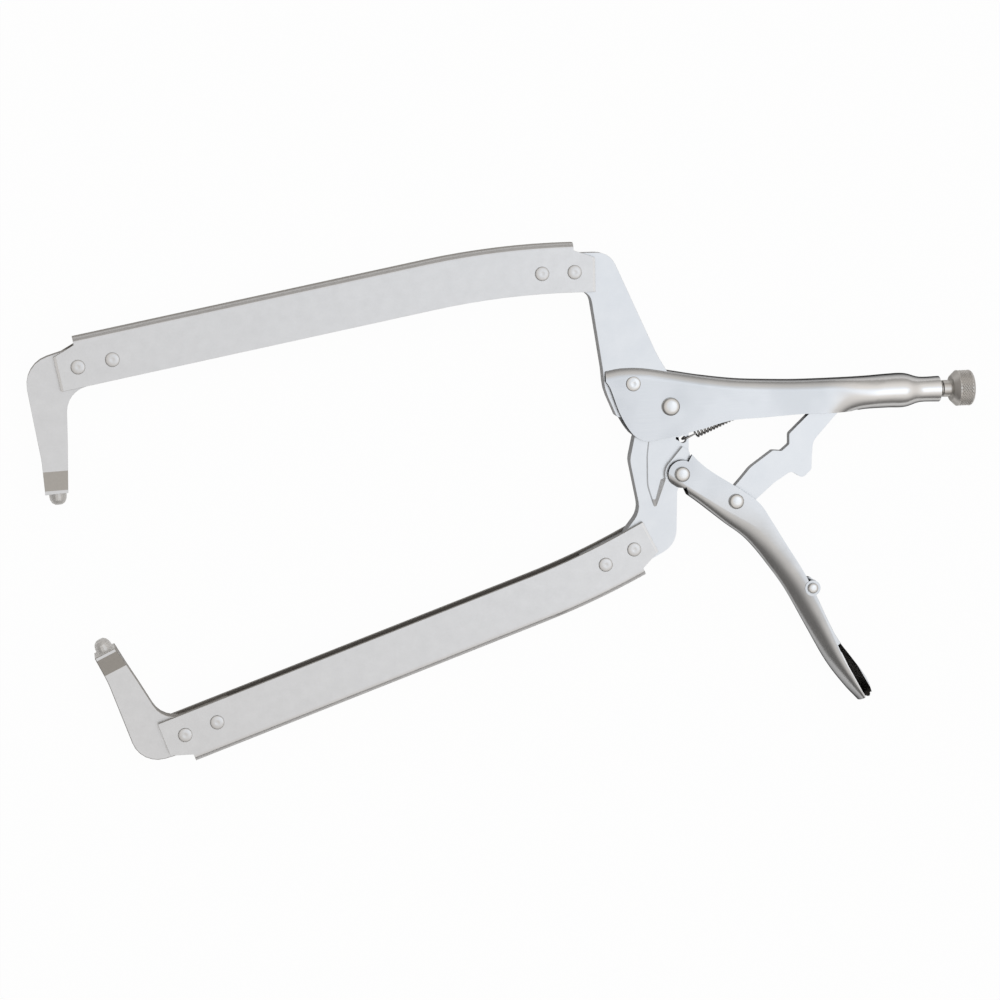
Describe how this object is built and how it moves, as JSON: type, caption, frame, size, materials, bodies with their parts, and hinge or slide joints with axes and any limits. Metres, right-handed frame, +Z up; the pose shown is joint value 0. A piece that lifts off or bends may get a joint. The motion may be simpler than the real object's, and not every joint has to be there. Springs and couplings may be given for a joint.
{
  "type": "locking C clamp",
  "caption": "Long-reach locking C clamp with channel arms, rounded jaw tips, lever handle and adjusting screw, lying open on its side.",
  "frame": {"origin": "middle of the overall extents in plan, on the surface the clamp lies on", "axes": "+X along the adjusting screw towards its knob, +Y from the lower arm towards the upper arm, +Z up, across the tool"},
  "size_m": [0.5288, 0.2796, 0.0202],
  "materials": {
    "plated_steel": "matt bright nickel plating",
    "polished_sheet": "satin polished nickel plating",
    "turned_steel": "turned and knurled, plated",
    "spring_wire": "plain spring wire"
  },
  "bodies": {
    "upper_handle": {"upper_handle_shell": "polished_sheet", "upper_jaw": "plated_steel", "upper_arm_channel": "plated_steel", "upper_jaw_tip": "plated_steel", "jaw_pivot_rivet": "plated_steel", "nose_rivet": "plated_steel", "upper_arm_rivet_1": "plated_steel", "upper_arm_rivet_2": "plated_steel", "upper_arm_rivet_3": "plated_steel", "upper_arm_rivet_4": "plated_steel", "return_spring": "spring_wire"},
    "lower_jaw": {"lower_jaw": "plated_steel", "lower_arm_channel": "plated_steel", "lower_jaw_tip": "plated_steel", "lower_arm_rivet_1": "plated_steel", "lower_arm_rivet_2": "plated_steel", "lower_arm_rivet_3": "plated_steel", "lower_arm_rivet_4": "plated_steel"},
    "lower_handle": {"lower_handle_shell": "polished_sheet", "handle_pivot_rivet": "plated_steel", "link_pivot_rivet": "plated_steel", "release_pivot_rivet": "plated_steel"},
    "toggle_link": {"toggle_link": "plated_steel"},
    "release_lever": {"release_lever": "polished_sheet"},
    "adjusting_screw": {"adjusting_screw": "turned_steel"}
  },
  "joints": [
    {"name": "jaw_pivot", "type": "hinge", "parent": "upper_handle", "child": "lower_jaw", "pos_m": [0.08838, 0.0472, 0.0101], "axis": [0, 0, -1], "range_deg": [0, 12.6], "stiffness_Nm_per_rad": 0.5, "springref_deg": -20.05, "deforming": ["return_spring"]},
    {"name": "handle_pivot", "type": "hinge", "parent": "lower_jaw", "child": "lower_handle", "pos_m": [0.09458, 0.0089, 0.0101], "axis": [0, 0, 1], "range_deg": [0, 64.61]},
    {"name": "link_pivot", "type": "hinge", "parent": "lower_handle", "child": "toggle_link", "pos_m": [0.1254, -0.0077, 0.0101], "axis": [0, 0, -1], "range_deg": [0, 74.99]},
    {"name": "release_lever_pivot", "type": "hinge", "parent": "lower_handle", "child": "release_lever", "pos_m": [0.16928, -0.05903, 0.0101], "axis": [0, 0, -1], "range_deg": [0, 2.3]},
    {"name": "screw_travel", "type": "slide", "parent": "upper_handle", "child": "adjusting_screw", "axis": [1, 0, 0], "range_m": [0, 0.035]}
  ],
  "couplings": [
    {"joint": "handle_pivot", "follows": "jaw_pivot", "ratio": 5.112},
    {"joint": "link_pivot", "follows": "jaw_pivot", "ratio": 5.936}
  ]
}
